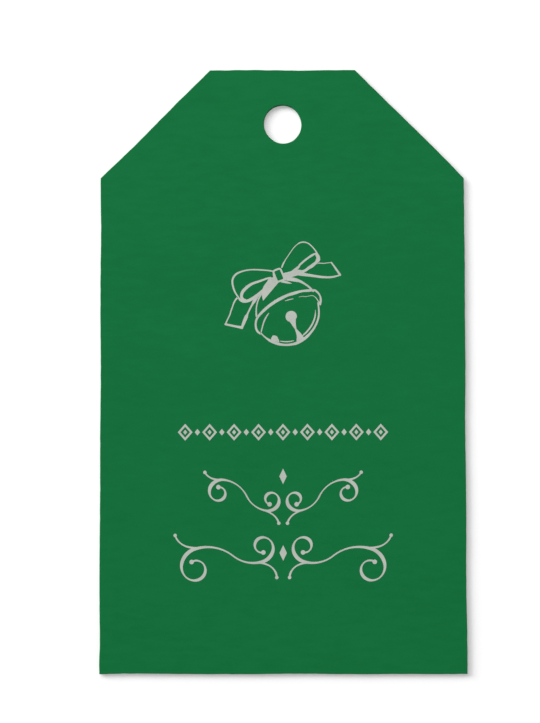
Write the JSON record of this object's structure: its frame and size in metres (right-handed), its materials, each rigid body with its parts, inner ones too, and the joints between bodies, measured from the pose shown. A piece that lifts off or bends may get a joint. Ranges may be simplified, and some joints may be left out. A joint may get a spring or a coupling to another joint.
{
  "type": "gift tag",
  "caption": "Flat die-cut card gift tag with cut top corners, a punched string hole, and a bell with bow, lozenge row and scroll flourishes stamped in foil on its face.",
  "frame": {"origin": "the middle of the back face, which lies on the table", "axes": "+Z out of the stamped face, +Y towards the end with the string hole, +X to the right as the face is seen"},
  "size_m": [0.054, 0.0892, 0.0007],
  "materials": {
    "card": "dyed-through green cover card, uncoated, with a fine felt grain",
    "adhesive": "clear mounting film between the sheets, seen only as a hairline at the cut edge",
    "foil": "satin silver stamping foil"
  },
  "bodies": {
    "root": {"face_sheet": "card", "mounting_adhesive": "adhesive", "back_sheet": "card", "bow_foil": "foil", "ribbon_tail_foil": "foil", "bell_foil": "foil", "bell_belt_foil": "foil", "bell_slot_foil": "foil", "ornament_row_foil": "foil", "upper_flourish_foil": "foil", "lower_flourish_foil": "foil"}
  },
  "joints": []
}
